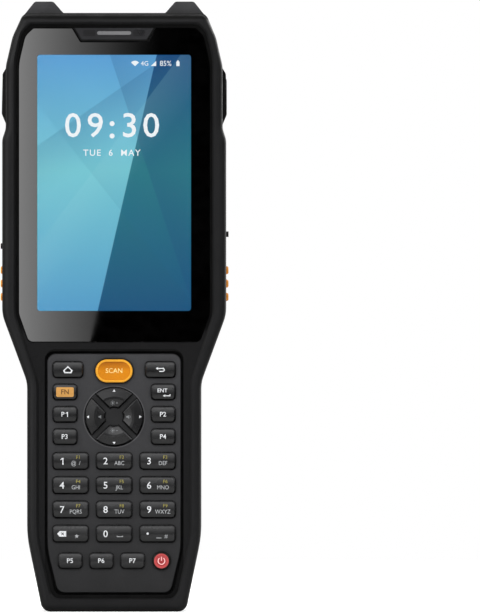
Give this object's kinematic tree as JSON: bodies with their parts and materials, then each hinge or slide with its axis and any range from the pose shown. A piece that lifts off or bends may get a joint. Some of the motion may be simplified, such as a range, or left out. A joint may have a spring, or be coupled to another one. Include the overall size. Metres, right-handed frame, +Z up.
{
  "type": "portable barcode data terminal",
  "caption": "Rugged handheld barcode terminal with a colour touch screen over a full keypad, side triggers, a finger rest with speaker grille and a battery door behind.",
  "frame": {"origin": "middle of the lower end, on the surface that the terminal stands on", "axes": "+Z up along the length to the scanner end, -Y out of the screen, +X to the right seen from the screen"},
  "size_m": [0.0778, 0.033, 0.2077],
  "materials": {
    "bumper_rubber": "satin overmould, fine grain",
    "casing": "fine spark texture",
    "cover_glass": "black-printed strengthened glass",
    "display": "lit picture",
    "grille": "smooth",
    "keypad_plate": "satin",
    "key_plastic": "satin, printed legends",
    "scan_key_orange": "satin",
    "power_key_plastic": "satin",
    "membrane": "matt silicone",
    "circuit_board": "solder mask",
    "magnesium": "cast, bead-blasted",
    "rear_glass": "black and yellow, glossy",
    "lens_glass": "coated lens",
    "flash_lens": "frosted lens",
    "scan_glass": "dark filter glass",
    "scanner_body": "matt",
    "speaker_body": "matt",
    "battery_skin": "wrapped",
    "latch_plastic": "satin",
    "orange_plastic": "satin",
    "side_key_plastic": "satin",
    "cover_rubber": "matt",
    "socket_steel": "plated",
    "screw_steel": "black zinc"
  },
  "bodies": {
    "root": {"bumper_frame": "bumper_rubber", "front_cover": "casing", "rear_cover": "casing", "touch_glass": "cover_glass", "display_panel": "display", "earpiece_grille": "grille", "keypad_panel": "keypad_plate", "keypad_membrane": "membrane", "keypad_board": "circuit_board", "midframe": "magnesium", "main_board": "circuit_board", "rear_window": "rear_glass", "camera_module": "lens_glass", "flash_led": "flash_lens", "scan_window": "scan_glass", "scan_engine": "scanner_body", "speaker_plate": "casing", "loudspeaker": "speaker_body", "battery_pack": "battery_skin", "port_connectors": "socket_steel", "cover_screws": "screw_steel", "small_screws": "screw_steel"},
    "key_home": {"key_home": "key_plastic"},
    "key_scan": {"key_scan": "scan_key_orange"},
    "key_back": {"key_back": "key_plastic"},
    "key_fn": {"key_fn": "key_plastic"},
    "key_enter": {"key_enter": "key_plastic"},
    "key_p1": {"key_p1": "key_plastic"},
    "key_p2": {"key_p2": "key_plastic"},
    "key_p3": {"key_p3": "key_plastic"},
    "key_p4": {"key_p4": "key_plastic"},
    "key_nav_up": {"key_nav_up": "key_plastic"},
    "key_nav_left": {"key_nav_left": "key_plastic"},
    "key_nav_down": {"key_nav_down": "key_plastic"},
    "key_nav_right": {"key_nav_right": "key_plastic"},
    "key_star": {"key_star": "key_plastic"},
    "key_0": {"key_0": "key_plastic"},
    "key_hash": {"key_hash": "key_plastic"},
    "key_p5": {"key_p5": "key_plastic"},
    "key_p6": {"key_p6": "key_plastic"},
    "key_p7": {"key_p7": "key_plastic"},
    "key_power": {"key_power": "power_key_plastic"},
    "key_1": {"key_1": "key_plastic"},
    "key_2": {"key_2": "key_plastic"},
    "key_3": {"key_3": "key_plastic"},
    "key_4": {"key_4": "key_plastic"},
    "key_5": {"key_5": "key_plastic"},
    "key_6": {"key_6": "key_plastic"},
    "key_7": {"key_7": "key_plastic"},
    "key_8": {"key_8": "key_plastic"},
    "key_9": {"key_9": "key_plastic"},
    "battery_door": {"battery_door": "casing"},
    "latch_left": {"latch_left": "latch_plastic"},
    "latch_right": {"latch_right": "latch_plastic"},
    "trigger_left": {"trigger_left": "orange_plastic"},
    "trigger_right": {"trigger_right": "orange_plastic"},
    "side_key_left": {"side_key_left": "side_key_plastic"},
    "side_key_right": {"side_key_right": "side_key_plastic"},
    "port_cover_left": {"port_cover_left": "cover_rubber"},
    "port_cover_right": {"port_cover_right": "cover_rubber"}
  },
  "joints": [
    {"name": "trigger_left_press", "type": "slide", "parent": "root", "child": "trigger_left", "axis": [1, 0, 0], "range_m": [0, 0.0008], "stiffness_N_per_m": 800, "springref_m": -0.001},
    {"name": "side_key_left_press", "type": "slide", "parent": "root", "child": "side_key_left", "axis": [1, 0, 0], "range_m": [0, 0.0006], "stiffness_N_per_m": 800, "springref_m": -0.001},
    {"name": "port_cover_left_hinge", "type": "hinge", "parent": "root", "child": "port_cover_left", "pos_m": [-0.0381, -0.0054, 0.127], "axis": [0, 0, 1], "range_deg": [0, 110]},
    {"name": "latch_left_slide", "type": "slide", "parent": "root", "child": "latch_left", "axis": [0, 0, 1], "range_m": [0, 0.0025]},
    {"name": "trigger_right_press", "type": "slide", "parent": "root", "child": "trigger_right", "axis": [-1, 0, 0], "range_m": [0, 0.0008], "stiffness_N_per_m": 800, "springref_m": -0.001},
    {"name": "side_key_right_press", "type": "slide", "parent": "root", "child": "side_key_right", "axis": [-1, 0, 0], "range_m": [0, 0.0006], "stiffness_N_per_m": 800, "springref_m": -0.001},
    {"name": "port_cover_right_hinge", "type": "hinge", "parent": "root", "child": "port_cover_right", "pos_m": [0.0381, -0.0054, 0.127], "axis": [0, 0, -1], "range_deg": [0, 110]},
    {"name": "latch_right_slide", "type": "slide", "parent": "root", "child": "latch_right", "axis": [0, 0, 1], "range_m": [0, 0.0025]},
    {"name": "battery_door_hinge", "type": "hinge", "parent": "root", "child": "battery_door", "pos_m": [0, 0.012, 0.0919], "axis": [1, 0, 0], "range_deg": [0, 32]},
    {"name": "key_home_press", "type": "slide", "parent": "root", "child": "key_home", "axis": [0, 1, 0], "range_m": [0, 0.0008], "stiffness_N_per_m": 500, "springref_m": -0.001},
    {"name": "key_scan_press", "type": "slide", "parent": "root", "child": "key_scan", "axis": [0, 1, 0], "range_m": [0, 0.0008], "stiffness_N_per_m": 500, "springref_m": -0.001},
    {"name": "key_back_press", "type": "slide", "parent": "root", "child": "key_back", "axis": [0, 1, 0], "range_m": [0, 0.0008], "stiffness_N_per_m": 500, "springref_m": -0.001},
    {"name": "key_fn_press", "type": "slide", "parent": "root", "child": "key_fn", "axis": [0, 1, 0], "range_m": [0, 0.0008], "stiffness_N_per_m": 500, "springref_m": -0.001},
    {"name": "key_enter_press", "type": "slide", "parent": "root", "child": "key_enter", "axis": [0, 1, 0], "range_m": [0, 0.0008], "stiffness_N_per_m": 500, "springref_m": -0.001},
    {"name": "key_p1_press", "type": "slide", "parent": "root", "child": "key_p1", "axis": [0, 1, 0], "range_m": [0, 0.0008], "stiffness_N_per_m": 500, "springref_m": -0.001},
    {"name": "key_p2_press", "type": "slide", "parent": "root", "child": "key_p2", "axis": [0, 1, 0], "range_m": [0, 0.0008], "stiffness_N_per_m": 500, "springref_m": -0.001},
    {"name": "key_p3_press", "type": "slide", "parent": "root", "child": "key_p3", "axis": [0, 1, 0], "range_m": [0, 0.0008], "stiffness_N_per_m": 500, "springref_m": -0.001},
    {"name": "key_p4_press", "type": "slide", "parent": "root", "child": "key_p4", "axis": [0, 1, 0], "range_m": [0, 0.0008], "stiffness_N_per_m": 500, "springref_m": -0.001},
    {"name": "key_nav_up_press", "type": "slide", "parent": "root", "child": "key_nav_up", "axis": [0, 1, 0], "range_m": [0, 0.0008], "stiffness_N_per_m": 500, "springref_m": -0.001},
    {"name": "key_nav_left_press", "type": "slide", "parent": "root", "child": "key_nav_left", "axis": [0, 1, 0], "range_m": [0, 0.0008], "stiffness_N_per_m": 500, "springref_m": -0.001},
    {"name": "key_nav_down_press", "type": "slide", "parent": "root", "child": "key_nav_down", "axis": [0, 1, 0], "range_m": [0, 0.0008], "stiffness_N_per_m": 500, "springref_m": -0.001},
    {"name": "key_nav_right_press", "type": "slide", "parent": "root", "child": "key_nav_right", "axis": [0, 1, 0], "range_m": [0, 0.0008], "stiffness_N_per_m": 500, "springref_m": -0.001},
    {"name": "key_star_press", "type": "slide", "parent": "root", "child": "key_star", "axis": [0, 1, 0], "range_m": [0, 0.0008], "stiffness_N_per_m": 500, "springref_m": -0.001},
    {"name": "key_0_press", "type": "slide", "parent": "root", "child": "key_0", "axis": [0, 1, 0], "range_m": [0, 0.0008], "stiffness_N_per_m": 500, "springref_m": -0.001},
    {"name": "key_hash_press", "type": "slide", "parent": "root", "child": "key_hash", "axis": [0, 1, 0], "range_m": [0, 0.0008], "stiffness_N_per_m": 500, "springref_m": -0.001},
    {"name": "key_p5_press", "type": "slide", "parent": "root", "child": "key_p5", "axis": [0, 1, 0], "range_m": [0, 0.0008], "stiffness_N_per_m": 500, "springref_m": -0.001},
    {"name": "key_p6_press", "type": "slide", "parent": "root", "child": "key_p6", "axis": [0, 1, 0], "range_m": [0, 0.0008], "stiffness_N_per_m": 500, "springref_m": -0.001},
    {"name": "key_p7_press", "type": "slide", "parent": "root", "child": "key_p7", "axis": [0, 1, 0], "range_m": [0, 0.0008], "stiffness_N_per_m": 500, "springref_m": -0.001},
    {"name": "key_power_press", "type": "slide", "parent": "root", "child": "key_power", "axis": [0, 1, 0], "range_m": [0, 0.0008], "stiffness_N_per_m": 500, "springref_m": -0.001},
    {"name": "key_1_press", "type": "slide", "parent": "root", "child": "key_1", "axis": [0, 1, 0], "range_m": [0, 0.0008], "stiffness_N_per_m": 500, "springref_m": -0.001},
    {"name": "key_2_press", "type": "slide", "parent": "root", "child": "key_2", "axis": [0, 1, 0], "range_m": [0, 0.0008], "stiffness_N_per_m": 500, "springref_m": -0.001},
    {"name": "key_3_press", "type": "slide", "parent": "root", "child": "key_3", "axis": [0, 1, 0], "range_m": [0, 0.0008], "stiffness_N_per_m": 500, "springref_m": -0.001},
    {"name": "key_4_press", "type": "slide", "parent": "root", "child": "key_4", "axis": [0, 1, 0], "range_m": [0, 0.0008], "stiffness_N_per_m": 500, "springref_m": -0.001},
    {"name": "key_5_press", "type": "slide", "parent": "root", "child": "key_5", "axis": [0, 1, 0], "range_m": [0, 0.0008], "stiffness_N_per_m": 500, "springref_m": -0.001},
    {"name": "key_6_press", "type": "slide", "parent": "root", "child": "key_6", "axis": [0, 1, 0], "range_m": [0, 0.0008], "stiffness_N_per_m": 500, "springref_m": -0.001},
    {"name": "key_7_press", "type": "slide", "parent": "root", "child": "key_7", "axis": [0, 1, 0], "range_m": [0, 0.0008], "stiffness_N_per_m": 500, "springref_m": -0.001},
    {"name": "key_8_press", "type": "slide", "parent": "root", "child": "key_8", "axis": [0, 1, 0], "range_m": [0, 0.0008], "stiffness_N_per_m": 500, "springref_m": -0.001},
    {"name": "key_9_press", "type": "slide", "parent": "root", "child": "key_9", "axis": [0, 1, 0], "range_m": [0, 0.0008], "stiffness_N_per_m": 500, "springref_m": -0.001}
  ]
}
